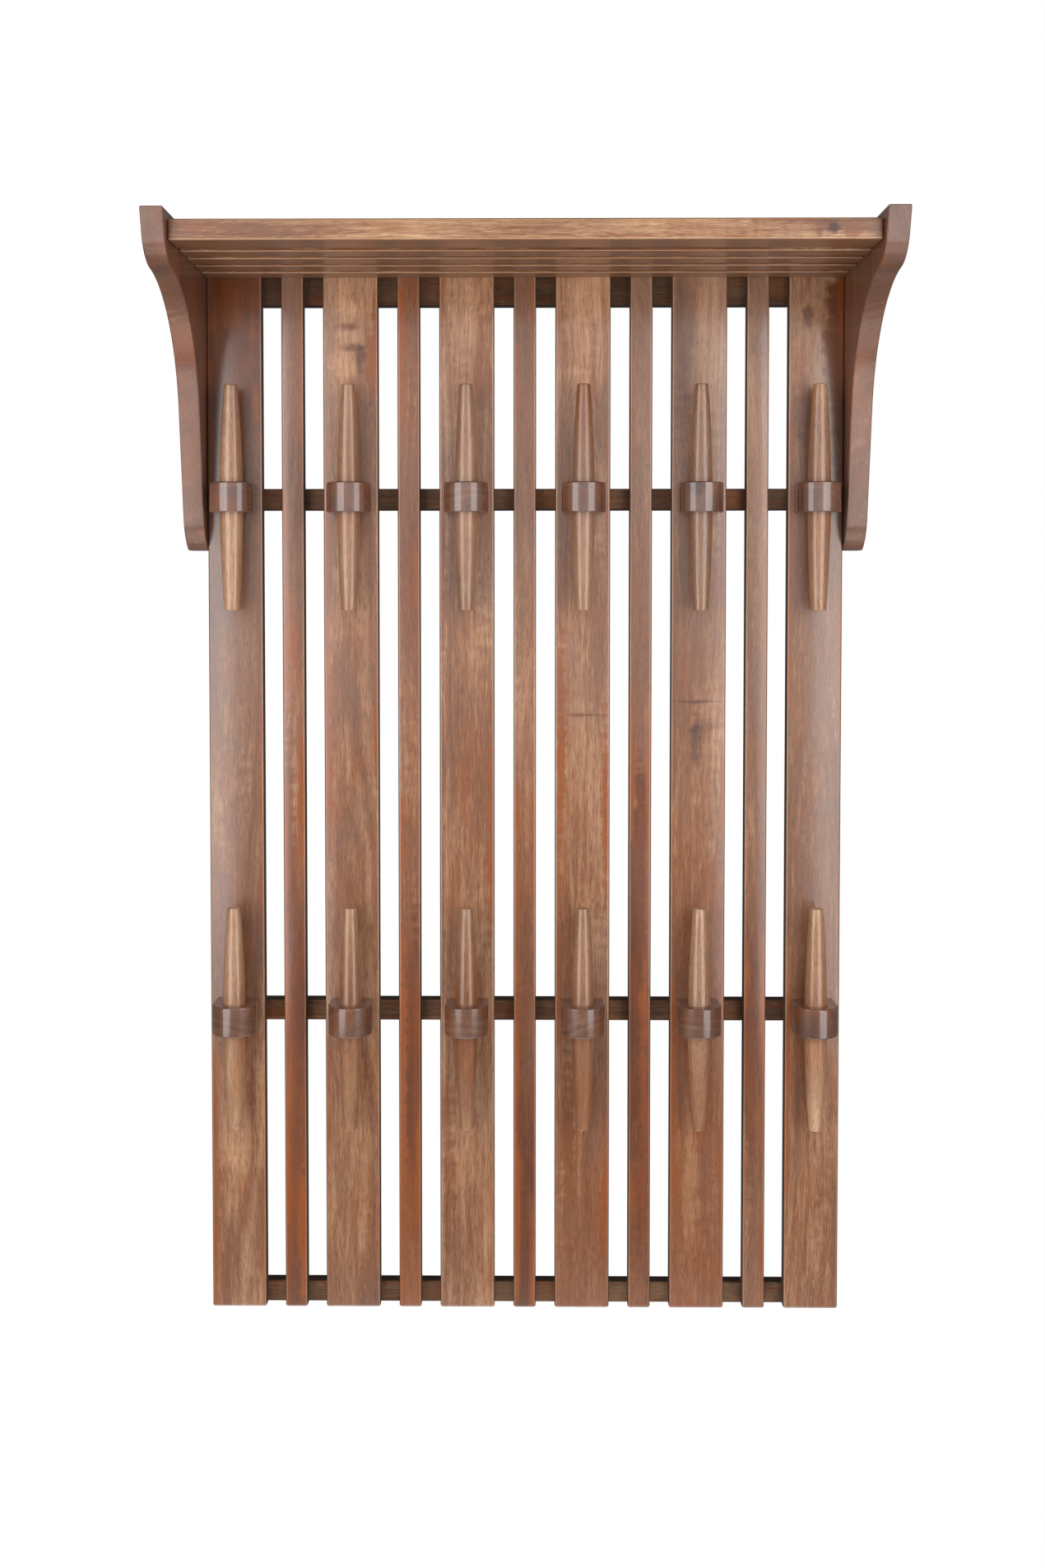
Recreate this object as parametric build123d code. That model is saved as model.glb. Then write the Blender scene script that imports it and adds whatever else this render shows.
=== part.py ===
from build123d import *
import math
import os

# A slatted wall coat rack with a slatted hat shelf. All sizes are in millimetres.
#
# X runs to the right, Y into the wall and Z up. The wall plane is Y = 0 and the rack stands out to -Y.
# Heights are measured from the lower ends of the slats. Only when the pieces are written does the origin
# move to the wall plane midway between the two hanger plates' entry holes.

# ---- the slatted back ----
back_width = 704.0
rail_thickness = 15.0
slat_thickness = 15.0
wide_slat_width = 61.0
narrow_slat_width = 25.0
wide_slat_count = 6
shelf_top = 1175.0
board_ease = 1.0

bottom_rail_height = 24.0
hook_rail_height = 24.0
top_rail_height = 50.0
lower_hook_level = 335.0
upper_hook_level = 910.0

# ---- the hooks: a peg turned with two tapers, upright in a D-shaped block ----
block_width = 48.0
block_height = 33.0
peg_reach = 24.0
peg_length = 247.0
peg_body_diameter = 25.0
peg_tip_diameter = 15.5
peg_swell = 0.8
peg_tip_ease = 1.5
block_ease = 1.2

# ---- the hat shelf ----
shelf_thickness = 21.5
front_rail_depth = 40.0
front_rail_face = 229.5
shelf_slat_depth = 26.0
shelf_slat_pitch = 39.0
shelf_slat_count = 4

# ---- the side brackets, outlined by straights and tangent arcs ----
# Slopes are in degrees from straight down, towards the wall.
bracket_thickness = 23.0
bracket_depth = 250.0
bracket_top = 1183.0
bracket_bottom = 853.0
nose_bevel = 25.0
nose_slope = 18.0
nose_radius = 41.5
under_nose_slope = 83.5
hollow_radius = 155.0
stem_slope = 10.4
foot_radius = 49.0
foot_slope = 63.0
bracket_ease = 2.0

# ---- screws from behind, and dowels ----
shank_diameter = 3.6
head_diameter = 7.0
head_depth = 2.2
point_length = 5.0
slat_screw_length = 26.0
block_screw_length = 50.0
hanger_screw_length = 12.0
wide_slat_screw_offset = 15.0
block_screw_offset = 6.5
shelf_dowel_diameter = 6.0
shelf_dowel_length = 24.0
shelf_dowel_inset = 6.5
bracket_dowel_diameter = 8.0
bracket_dowel_length = 36.0
bracket_dowel_depth = 12.0
top_rail_dowel_offset = 13.0

# ---- the two steel keyhole hanger plates, let into the back of the top rail ----
hanger_spacing = 580.0
plate_width = 18.0
plate_height = 42.0
plate_thickness = 2.0
plate_corner = 3.0
plate_screw_offset = 17.0
entry_diameter = 10.0
entry_drop = 4.0
slot_width = 5.0
slot_rise = 12.5
pocket_width = 12.0
pocket_depth = 6.0

# ---- places worked out from the sizes above ----
slat_back = -rail_thickness
slat_face = slat_back - slat_thickness
peg_axis = slat_face - peg_reach
top_rail_level = shelf_top - top_rail_height / 2
bottom_rail_level = bottom_rail_height / 2
shelf_level = shelf_top - shelf_thickness / 2
hanger_level = top_rail_level - entry_drop
wide_slat_pitch = (back_width - wide_slat_width) / (wide_slat_count - 1)
wide_slat_places = [(i - (wide_slat_count - 1) / 2) * wide_slat_pitch for i in range(wide_slat_count)]
narrow_slat_places = [place + wide_slat_pitch / 2 for place in wide_slat_places[:-1]]
hanger_places = [-hanger_spacing / 2, hanger_spacing / 2]


def ease_long_edges(board, direction):
    """Take the sharpness off a board's four long edges."""
    return chamfer(board.edges().filter_by(direction), board_ease)


def countersunk_screw(length):
    """A screw that points to the front, with its head flush in the plane Y = 0."""
    side = Polyline(
        (0, 0),
        (head_diameter / 2, 0),
        (shank_diameter / 2, -head_depth),
        (shank_diameter / 2, point_length - length),
        (0, -length),
        close=True,
    )
    return revolve(make_face(side), Axis.Y)


def dowel(diameter, length):
    """A round dowel along X, centred on the origin."""
    return Rotation(0, 90, 0) * Cylinder(diameter / 2, length)


def slat_screws_of(places, level, offset=0.0):
    """Screws from behind into the slats at the given places, at one rail."""
    screw = countersunk_screw(slat_screw_length)
    offsets = [-offset, offset] if offset else [0.0]
    return [Pos(place + shift, 0, level) * screw for place in places for shift in offsets]


def block_screws_of(level):
    """Two screws, one above the other, through rail, slat and block into each peg."""
    screw = countersunk_screw(block_screw_length)
    offsets = [-block_screw_offset, block_screw_offset]
    return [Pos(place, 0, level + shift) * screw for place in wide_slat_places for shift in offsets]


def make_slat_screws():
    """All the screws that hold the slats, except those that also hold the hook blocks."""
    screws = []
    for level in [bottom_rail_level, top_rail_level]:
        screws += slat_screws_of(wide_slat_places, level, wide_slat_screw_offset)
    for level in [bottom_rail_level, lower_hook_level, upper_hook_level, top_rail_level]:
        screws += slat_screws_of(narrow_slat_places, level)
    return screws


def make_hanger_screws():
    """Two small screws in each hanger plate."""
    screw = countersunk_screw(hanger_screw_length)
    offsets = [-plate_screw_offset, plate_screw_offset]
    return [Pos(place, 0, top_rail_level + shift) * screw for place in hanger_places for shift in offsets]


def make_slat(place, width):
    """One upright board of the back, from the floor of the rack up to the shelf's top."""
    board = Box(width, slat_thickness, shelf_top)
    board = ease_long_edges(board, Axis.Z)
    return Pos(place, (slat_back + slat_face) / 2, shelf_top / 2) * board


def make_rail(level, height):
    """One level board behind the slats, between the brackets' inner faces."""
    board = Box(back_width, rail_thickness, height)
    board = ease_long_edges(board, Axis.X)
    return Pos(0, -rail_thickness / 2, level) * board


def make_block():
    """A D-shaped hook block, bored upright for its peg. Its back is on Y = 0 and its mid-height on Z = 0."""
    half = block_width / 2
    sides = Polyline((-half, -peg_reach), (-half, 0), (half, 0), (half, -peg_reach))
    nose = ThreePointArc((half, -peg_reach), (0, -peg_reach - half), (-half, -peg_reach))
    block = extrude(make_face([sides, nose]), amount=block_height / 2, both=True)
    rims = block.edges().group_by(Axis.Z)
    front_rims = rims[0].sort_by(Axis.Y)[:-1] + rims[-1].sort_by(Axis.Y)[:-1]
    block = chamfer(front_rims, block_ease)
    return block - Pos(0, -peg_reach, 0) * Cylinder(peg_body_diameter / 2, block_height)


def make_peg():
    """A turned peg along Z: a straight seat inside the block and a slightly swelling taper to each end."""
    body = peg_body_diameter / 2
    tip = peg_tip_diameter / 2
    end = peg_length / 2
    seat = block_height / 2
    middle = ((body + tip) / 2 + peg_swell, (end + seat) / 2)
    upper_taper = ThreePointArc((body, seat), middle, (tip, end - peg_tip_ease))
    upper_tip = Polyline((tip, end - peg_tip_ease), (tip - peg_tip_ease, end), (0, end))
    upper_half = Curve() + [Line((body, 0), (body, seat)), upper_taper, upper_tip]
    lower_half = mirror(upper_half, Plane.XZ)
    axis_side = Line((0, -end), (0, end))
    side = make_face(upper_half.edges() + lower_half.edges() + axis_side.edges())
    return revolve(Plane.XZ * side, Axis.Z)


def make_bracket_outline():
    """The bracket seen from its side: distance from the wall along X, height along Y."""
    turns_of_drop = (
        nose_bevel * math.cos(math.radians(nose_slope))
        + nose_radius * (math.sin(math.radians(under_nose_slope)) - math.sin(math.radians(nose_slope)))
        + hollow_radius * (math.sin(math.radians(under_nose_slope)) - math.sin(math.radians(stem_slope)))
        + foot_radius * (math.sin(math.radians(foot_slope)) - math.sin(math.radians(stem_slope)))
    )
    stem_length = (bracket_top - bracket_bottom - turns_of_drop) / math.cos(math.radians(stem_slope))
    bevel = PolarLine((bracket_depth, bracket_top), nose_bevel, angle=-90 - nose_slope)
    nose = JernArc(bevel @ 1, bevel % 1, nose_radius, nose_slope - under_nose_slope)
    hollow = JernArc(nose @ 1, nose % 1, hollow_radius, under_nose_slope - stem_slope)
    stem = PolarLine(hollow @ 1, stem_length, angle=-90 - stem_slope)
    foot = JernArc(stem @ 1, stem % 1, foot_radius, stem_slope - foot_slope)
    wall_side = Polyline(foot @ 1, (0, bracket_bottom), (0, bracket_top), (bracket_depth, bracket_top))
    return make_face([bevel, nose, hollow, stem, foot, wall_side])


def make_bracket(outer_or_inner_x):
    """One side bracket, cut from a board that reaches from the given X towards -X."""
    side_plane = Plane(origin=(outer_or_inner_x, 0, 0), x_dir=(0, -1, 0), z_dir=(-1, 0, 0))
    bracket = extrude(side_plane * make_bracket_outline(), amount=bracket_thickness)
    rims = bracket.faces().filter_by(Axis.X).edges()
    front_rims = rims.filter_by_position(Axis.Y, -bracket_depth, -slat_thickness - rail_thickness)
    return fillet(front_rims, bracket_ease)


def make_shelf_board(front_face, depth):
    """One board of the shelf, between the brackets. front_face is its front's distance from the wall."""
    board = Box(back_width, depth, shelf_thickness)
    board = ease_long_edges(board, Axis.X)
    return Pos(0, depth / 2 - front_face, shelf_level) * board


def shelf_board_dowels(front_face, depth):
    """Two dowels in each end of a shelf board."""
    peg = dowel(shelf_dowel_diameter, shelf_dowel_length)
    lines = [front_face - shelf_dowel_inset, front_face - depth + shelf_dowel_inset]
    ends = [-back_width / 2, back_width / 2]
    return [Pos(end, -line, shelf_level) * peg for end in ends for line in lines]


def make_bracket_dowels():
    """Dowels from each bracket into the ends of the top rail and the upper hook rail."""
    peg = dowel(bracket_dowel_diameter, bracket_dowel_length)
    centre = back_width / 2 + bracket_dowel_depth - bracket_dowel_length / 2
    levels = [upper_hook_level, top_rail_level - top_rail_dowel_offset, top_rail_level + top_rail_dowel_offset]
    return [Pos(side * centre, -rail_thickness / 2, level) * peg for side in [-1, 1] for level in levels]


def make_hanger_plate():
    """A keyhole plate in the plane Y = 0, centred on the top rail's level, its slot running up."""
    outline = RectangleRounded(plate_width, plate_height, plate_corner)
    entry = Pos(0, -entry_drop) * Circle(entry_diameter / 2)
    slot = Pos(0, slot_rise / 2 - entry_drop) * SlotCenterToCenter(slot_rise, slot_width, rotation=90)
    plate = extrude(Plane.XZ * (outline - entry - slot), amount=plate_thickness)
    return Pos(0, 0, top_rail_level) * plate


def make_hanger_recess():
    """What is cut out of the rail for a plate: its own bed, and the pocket for the wall screw's head."""
    bed = extrude(Plane.XZ * RectangleRounded(plate_width, plate_height, plate_corner), amount=plate_thickness)
    head_way = Pos(0, slot_rise / 2 - entry_drop) * SlotCenterToCenter(slot_rise, pocket_width, rotation=90)
    pocket = extrude(Plane.XZ * head_way, amount=plate_thickness + pocket_depth)
    return Pos(0, 0, top_rail_level) * (bed + pocket)


def with_boxes(tools):
    """Pair each tool with its bounding box, worked out once."""
    return [(tool, tool.bounding_box()) for tool in tools]


def cut(piece, boxed_tools):
    """Cut an exact seat for each screw, dowel or plate that reaches into the piece."""
    reach = piece.bounding_box()
    near = [tool for tool, box in boxed_tools if reach.overlaps(box)]
    return piece - near


def write(name, shape):
    """Write one piece, moved so that the origin is midway between the hanger plates' entry holes."""
    export_step(Pos(0, 0, -hanger_level) * shape, "parts/" + name + ".step")


os.makedirs("parts", exist_ok=True)

# The shelf boards from the front to the slats: the deep front rail, then the shelf slats.
shelf_slat_fronts = [
    -slat_face + shelf_slat_depth + shelf_slat_pitch * i for i in reversed(range(shelf_slat_count))
]

slat_screws = make_slat_screws()
block_screws = block_screws_of(lower_hook_level) + block_screws_of(upper_hook_level)
hanger_screws = make_hanger_screws()
shelf_dowels = shelf_board_dowels(front_rail_face, front_rail_depth)
for front in shelf_slat_fronts:
    shelf_dowels += shelf_board_dowels(front, shelf_slat_depth)
bracket_dowels = make_bracket_dowels()
hanger_recesses = [Pos(place, 0, 0) * make_hanger_recess() for place in hanger_places]
fasteners = with_boxes(slat_screws + block_screws + hanger_screws + shelf_dowels + bracket_dowels)

for number, place in enumerate(wide_slat_places, start=1):
    write(f"wide_slat_{number}", cut(make_slat(place, wide_slat_width), fasteners))
for number, place in enumerate(narrow_slat_places, start=1):
    write(f"narrow_slat_{number}", cut(make_slat(place, narrow_slat_width), fasteners))

write("bottom_rail", cut(make_rail(bottom_rail_level, bottom_rail_height), fasteners))
write("lower_hook_rail", cut(make_rail(lower_hook_level, hook_rail_height), fasteners))
write("upper_hook_rail", cut(make_rail(upper_hook_level, hook_rail_height), fasteners))
write("top_rail", cut(make_rail(top_rail_level, top_rail_height), fasteners + with_boxes(hanger_recesses)))

write("left_bracket", cut(make_bracket(-back_width / 2), fasteners))
write("right_bracket", cut(make_bracket(back_width / 2 + bracket_thickness), fasteners))

write("shelf_front_rail", cut(make_shelf_board(front_rail_face, front_rail_depth), fasteners))
for number, front in enumerate(shelf_slat_fronts, start=1):
    write(f"shelf_slat_{number}", cut(make_shelf_board(front, shelf_slat_depth), fasteners))

block = make_block()
peg = make_peg()
for row, level in [("lower", lower_hook_level), ("upper", upper_hook_level)]:
    for number, place in enumerate(wide_slat_places, start=1):
        write(f"{row}_block_{number}", cut(Pos(place, slat_face, level) * block, fasteners))
        write(f"{row}_peg_{number}", cut(Pos(place, peg_axis, level) * peg, fasteners))

write("slat_screws", Compound(children=slat_screws))
write("block_screws", Compound(children=block_screws))
write("hanger_screws", Compound(children=hanger_screws))
write("shelf_dowels", Compound(children=shelf_dowels))
write("bracket_dowels", Compound(children=bracket_dowels))
for side, place in zip(["left", "right"], hanger_places):
    write(f"{side}_hanger_plate", cut(Pos(place, 0, 0) * make_hanger_plate(), with_boxes(hanger_screws)))
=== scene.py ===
# %% [markdown]
# A slatted wall coat rack with a hat shelf.
#
# The rack is all stained hardwood: upright slats on cross rails, two rows of hooks that are each a turned
# peg standing in a D-shaped block, and a slatted shelf between two S-curved brackets. The CAD model gives
# every piece its place and size. This lesson gives the pieces the edges, the turned and sawn shapes and the
# lacquered wood that the eye looks for, and it never moves or resizes one of them.

# %% Load the frame
import math
import random

import bpy
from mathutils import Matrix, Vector


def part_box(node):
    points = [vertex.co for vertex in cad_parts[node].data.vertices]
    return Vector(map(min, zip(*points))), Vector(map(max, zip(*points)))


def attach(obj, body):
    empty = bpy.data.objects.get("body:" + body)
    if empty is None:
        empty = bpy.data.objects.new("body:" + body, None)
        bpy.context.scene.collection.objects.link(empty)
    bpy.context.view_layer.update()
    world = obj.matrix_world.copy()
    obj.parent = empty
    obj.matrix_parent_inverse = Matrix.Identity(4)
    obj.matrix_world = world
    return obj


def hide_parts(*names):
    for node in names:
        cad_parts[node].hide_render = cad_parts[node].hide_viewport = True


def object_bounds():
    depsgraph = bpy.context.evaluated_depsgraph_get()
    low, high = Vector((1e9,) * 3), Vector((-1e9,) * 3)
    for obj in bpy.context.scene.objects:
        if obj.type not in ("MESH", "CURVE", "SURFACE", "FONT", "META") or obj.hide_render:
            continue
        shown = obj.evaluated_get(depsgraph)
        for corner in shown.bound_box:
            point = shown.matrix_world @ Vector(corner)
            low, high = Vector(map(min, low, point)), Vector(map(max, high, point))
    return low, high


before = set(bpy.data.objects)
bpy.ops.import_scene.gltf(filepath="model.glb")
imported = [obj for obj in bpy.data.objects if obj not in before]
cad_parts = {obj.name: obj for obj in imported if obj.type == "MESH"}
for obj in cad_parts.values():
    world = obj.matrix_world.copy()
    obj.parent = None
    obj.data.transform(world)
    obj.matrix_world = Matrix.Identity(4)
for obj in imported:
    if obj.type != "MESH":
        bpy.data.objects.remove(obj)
cad_box = [[float(value) for value in corner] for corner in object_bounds()]
print("CAD pieces:", len(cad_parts), "box:", cad_box)

# %% [markdown]
# Blender's unit is the metre, but a maker thinks in millimetres. So one small value turns one into the
# other. Most sizes are read from the frame. Only what a box can't tell, such as the outline of a bracket,
# is written down, and each such size stands in the cell that needs it first.

# %% The unit
mm = 0.001
rack_low, rack_high = [Vector(corner) for corner in cad_box]
print("width, depth and height in mm:", [round(size / mm) for size in rack_high - rack_low])

# %% [markdown]
# The camera stands where a person stands: a little under two metres in front of the rack, about two thirds
# of the way up the slats, and it points very slightly down. The lens is a 38 mm one on a frame 36 mm high.
# A small shift puts the rack in the middle of the picture without tilting the uprights. The shift and the
# lens are worked out from sizes in pixels of the finished picture.

# %% Camera
sensor_height_mm = 36.0
camera_place = Vector((0.37, -1858.4, -331.7)) * mm
camera_aim = Vector((-0.00907, 0.9993, -0.0358))

picture_height_px = 1906
picture_centre_px = (635.0, 953.0)
optical_centre_px = (620.0, 783.0)
lens_px = 2000.0

camera_data = bpy.data.cameras.new("camera")
camera_data.sensor_fit = "VERTICAL"
camera_data.sensor_height = sensor_height_mm
camera_data.lens = sensor_height_mm * lens_px / picture_height_px
camera_data.shift_x = (picture_centre_px[0] - optical_centre_px[0]) / picture_height_px
camera_data.shift_y = -(picture_centre_px[1] - optical_centre_px[1]) / picture_height_px
camera = bpy.data.objects.new("camera", camera_data)
bpy.context.scene.collection.objects.link(camera)
camera.location = camera_place
camera.rotation_euler = camera_aim.to_track_quat("-Z", "Y").to_euler()
bpy.context.scene.camera = camera
print("lens in mm:", round(camera_data.lens, 2))
print("shift:", round(camera_data.shift_x, 4), round(camera_data.shift_y, 4))

# %% [markdown]
# Colours are written as the hex values that a paint chart gives. Those are display values, and a shader
# wants linear light, so one function turns one into the other.
#
# Nodes are added by one small function too. It takes the kind of node, its inputs by name or number and its
# settings, and it gives back an output of the node, ready to be the input of the next. A shader is then
# read from top to bottom, like a sum.

# %% Colour and node helpers


def linear(hex_colour):
    """Turn a display colour such as '#94644c' into linear red, green, blue and alpha."""
    values = [int(hex_colour[i : i + 2], 16) / 255 for i in (1, 3, 5)]
    return [v / 12.92 if v <= 0.04045 else ((v + 0.055) / 1.055) ** 2.4 for v in values] + [1.0]


def add_node(tree, kind, inputs=None, output=0, **settings):
    """Add a node and return one of its outputs. An input is linked if it's a socket, and set if not."""
    node = tree.nodes.new("ShaderNode" + kind)
    for setting, value in settings.items():
        setattr(node, setting, value)
    for key, value in (inputs or {}).items():
        if isinstance(value, bpy.types.NodeSocket):
            tree.links.new(value, node.inputs[key])
        else:
            node.inputs[key].default_value = value
    return node.outputs[output] if node.outputs else node


def new_material(name):
    """An empty node material, and the tree to build its look in."""
    material = bpy.data.materials.new(name)
    material.use_nodes = True
    material.node_tree.nodes.clear()
    return material, material.node_tree


print("a mid brown in linear light:", [round(v, 3) for v in linear("#94644c")])

# %% [markdown]
# Wood and metal are mixed from several patterns, and three helpers do that. The first makes a noise whose
# features have a real size across and along the grain. The second adds up parts by their weights, which is
# how a shade is made of several patterns. The third lays colours over one another, like coats of stain.

# %% Patterns, sums and layers


def pattern(tree, vector, across_mm, along_mm, output=0, **noise):
    """A soft noise from 0 to 1, about 0.5 on average, with features of this real size."""
    per_metre = (1000 / across_mm, 1000 / across_mm, 1000 / along_mm)
    stretched = add_node(tree, "VectorMath", {0: vector, 1: per_metre}, operation="MULTIPLY")
    return add_node(tree, "TexNoise", {"Vector": stretched, "Scale": 1.0, "Detail": 2.0, **noise}, output)


def add_up(tree, start, parts):
    """A starting value plus each part times its weight."""
    total = start
    for part, weight in parts:
        total = add_node(tree, "Math", {0: part, 1: weight, 2: total}, operation="MULTIPLY_ADD")
    return total


def lay_over(tree, colour, layers):
    """A colour with others laid over it in turn, each as far as its share says, from 0 to 1."""
    for share, hex_colour in layers:
        coats = {0: share, 6: colour, 7: linear(hex_colour)}
        colour = add_node(tree, "Mix", coats, 2, data_type="RGBA")
    return colour


print("streaks 4 mm across come about", round(1000 / 4), "times in a metre")

# %% [markdown]
# The wood is a brown-stained tropical hardwood under a satin lacquer. Each board that is shaped below
# carries three notes on its vertices, and its material reads them:
#
# - grain: where the point lies in the tree, along the grain in its third value and from the pith in its
#   first two, so that every board shows another cut;
# - stain: how much lighter and warmer than plain the stain is there, with some painted light in the lighter
#   part, and how much painted sheen lies over it;
# - across: how far off the middle of the board the point is, from which the shader works out how near the
#   long edge is.
#
# A rail or dowel that keeps its CAD mesh has no such notes. Its grain is taken from its place on the rack.

# %% What a board tells its material


def read_board(tree):
    """The grain and stain of a shaped board, and the distance to its nearer long edge."""
    grain = add_node(tree, "Attribute", output="Vector", attribute_name="grain")
    stain = add_node(tree, "Attribute", output="Vector", attribute_name="stain")
    across = add_node(tree, "Attribute", output="Vector", attribute_name="across")
    share, half_width, _ = add_node(tree, "SeparateXYZ", {0: across}).node.outputs
    off_middle = add_node(tree, "Math", {0: share}, operation="ABSOLUTE")
    share_left = add_node(tree, "Math", {0: 1.0, 1: off_middle}, operation="SUBTRACT")
    return grain, stain, add_node(tree, "Math", {0: share_left, 1: half_width}, operation="MULTIPLY")


def read_place(tree):
    """The same for a CAD mesh: its grain runs along X, its stain is even and no edge is near."""
    place = add_node(tree, "TexCoord", output="Object")
    off_the_pith = (0.0, 50 * mm, 0.0)
    z_to_x = (0.0, math.radians(90), 0.0)
    turned = {"Vector": place, "Location": off_the_pith, "Rotation": z_to_x}
    even_stain = add_node(tree, "CombineXYZ")
    far_from_edges = 1.0
    return add_node(tree, "Mapping", turned), even_stain, far_from_edges


print("two ways to read a piece:", read_board.__name__, read_place.__name__)

# %% [markdown]
# The figure of wood has parts of very different sizes, and each gets a pattern of its own:
#
# - growth rings, a few millimetres apart, which wander along the board and so draw long arches;
# - broad patches, a hand wide, where the stain took more or less or came out warmer, and where a painted
#   sheen lies;
# - streaks a few millimetres wide and a finger to a hand long, with finer fibres between them;
# - curl, short waves across the grain, which shows only in the lighter patches;
# - pores, under a millimetre wide and a centimetre long, which hold dark stain.

# %% Figure
grain_wander = 16 * mm
ring_width_mm = 4.5


def drift_of(tree, grain):
    """How far the grain runs off to the side, up to half of grain_wander either way."""
    clouds = pattern(tree, grain, 70, 190, output="Color")
    either_way = add_node(tree, "VectorMath", {0: clouds, 1: (0.5, 0.5, 0.5)}, operation="SUBTRACT")
    reach = (grain_wander, grain_wander, 0.0)
    return add_node(tree, "VectorMath", {0: either_way, 1: reach}, operation="MULTIPLY")


def growth_rings(tree, grain):
    """Rings round the pith, as uneven as the years of a tree."""
    flat = add_node(tree, "VectorMath", {0: grain, 1: (1.0, 1.0, 0.0)}, operation="MULTIPLY")
    from_pith = add_node(tree, "VectorMath", {0: flat}, "Value", operation="LENGTH")
    years = add_node(tree, "Math", {0: from_pith, 1: 1000 / ring_width_mm}, operation="MULTIPLY")
    return add_node(tree, "TexNoise", {"W": years, "Scale": 1.0, "Detail": 2.0}, noise_dimensions="1D")


def figure_of(tree, grain, drift):
    """Every pattern of the wood by its name. Those that follow the fibres drift with them."""
    bent = add_node(tree, "VectorMath", {0: grain, 1: drift}, operation="ADD")
    return {
        "rings": growth_rings(tree, bent),
        "patches": pattern(tree, grain, 45, 230, Detail=3.0),
        "warm patches": pattern(tree, grain, 28, 110),
        "painted sheen patches": pattern(tree, grain, 34, 140),
        "edge patches": pattern(tree, grain, 26, 190),
        "streaks": pattern(tree, bent, 4.0, 110, Detail=3.0, Roughness=0.6),
        "fibres": pattern(tree, bent, 1.1, 16),
        "curl": pattern(tree, grain, 22, 9),
        "pores": pattern(tree, bent, 0.8, 9, Detail=1.0),
    }


print("growth rings every", ring_width_mm, "mm, wandering", grain_wander / 2 / mm, "mm either way")

# %% [markdown]
# A board also has marks of its own: a knot, a drying check, a streak of dark heartwood, an edge where the
# stain was rubbed thin. Each is an oval at a place on the rack. Inside it the stain is a little lighter or
# darker, and warmer or cooler. The oval drifts with the grain, and the curl makes its rim ragged, so it
# never shows as an oval. It reaches right through the board, so its depth is simply very large.

# %% Marks
right_through = 1000.0
rim_waver = 1.6


def place_marks(tree, marks, drift, curl, lightness, warmth):
    """The lightness and warmth of the stain with every mark added to them."""
    place = add_node(tree, "TexCoord", output="Object")
    bent_place = add_node(tree, "VectorMath", {0: place, 1: drift}, operation="ADD")
    ragged = add_up(tree, -0.5 * rim_waver, [(curl, rim_waver)])
    for x, z, half_width, half_height, lighter, warmer in marks:
        size = (half_width * mm, right_through, half_height * mm)
        own_frame = {"Vector": bent_place, "Location": (x * mm, 0.0, z * mm), "Scale": size}
        scaled = add_node(tree, "Mapping", own_frame, vector_type="TEXTURE")
        reach = add_node(tree, "VectorMath", {0: scaled}, "Value", operation="LENGTH")
        fade = {0: add_up(tree, ragged, [(reach, 1.0)]), 1: 1.1, 2: 0.3}
        mark = add_node(tree, "MapRange", fade, interpolation_type="SMOOTHSTEP")
        lightness = add_up(tree, lightness, [(mark, lighter)])
        warmth = add_up(tree, warmth, [(mark, warmer)])
    return lightness, warmth


print("the rim of a mark wavers by up to", rim_waver / 2, "of its size")

# %% [markdown]
# The colour is built as a finisher builds it. First comes a tone, which says how light the wood is at each
# point. Every part of the figure shifts it by its weight. The tone then picks a brown between a deep and a
# pale one.

# %% Tone and brown


def tone_of(tree, wood, lightness, contrast):
    """How light the wood is: 0.5 where it is plain, and more or less by its figure, its stain and painted
    light.
    """
    weights = {"patches": 0.8, "rings": 0.36 * contrast, "streaks": 0.42 * contrast, "fibres": 0.56}
    parts = [(wood[part], weight) for part, weight in weights.items()]
    curl_shade = add_up(tree, -0.5, [(wood["curl"], 1.0)])
    curl_seen = add_node(tree, "MapRange", {0: wood["patches"], 1: 0.52, 2: 0.70, 4: 0.5})
    all_plain = 0.5 - 0.5 * sum(weights.values())
    return add_up(tree, all_plain, [(lightness, 1.0), (curl_shade, curl_seen)] + parts)


def brown_at(tree, tone, deep, middle, pale):
    """The brown of a tone, from deep through middle to pale."""
    brown = add_node(tree, "ValToRGB", {0: tone})
    stops = brown.node.color_ramp.elements
    stops[0].position = 0.08
    stops[0].color = linear(deep)
    stops[1].position = 0.95
    stops[1].color = linear(pale)
    stops.new(0.5).color = linear(middle)
    return brown


print("mid brown of the slats:", [round(v, 3) for v in linear("#865636")])

# %% [markdown]
# Over the brown lie a warm stain that didn't take evenly and a painted sheen. The warm stain shows in
# streaks, in patches and along parts of the long edges, where sanding thinned the brown. The painted sheen
# is a greyish brown laid in other patches, and it stands in for the grey gloss of an uneven lacquer. On wood
# with less contrast the patches are weaker.

# %% Warm stain and painted sheen
# Painted sheen: a greyish brown laid into the colour where the lacquer would catch the lamps.
painted_sheen_colour = "#74584a"


def warm_share(tree, wood, warmth, edge_distance, contrast):
    """How far the warm stain covers: in warm spots, some streaks and patches, and along some edges."""
    near_edge = add_node(tree, "MapRange", {0: edge_distance, 1: 9 * mm, 2: 3.5 * mm})
    edge_seen = add_node(tree, "MapRange", {0: wood["edge patches"], 1: 0.52, 2: 0.62, 4: 0.8})
    streaks = add_node(tree, "MapRange", {0: wood["streaks"], 1: 0.50, 2: 0.30, 4: 0.25})
    spread = add_node(tree, "MapRange", {0: wood["warm patches"], 1: 0.52, 2: 0.66, 4: 0.28 * contrast})
    return add_up(tree, warmth, [(near_edge, edge_seen), (streaks, 1.0), (spread, 1.0)])


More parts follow.
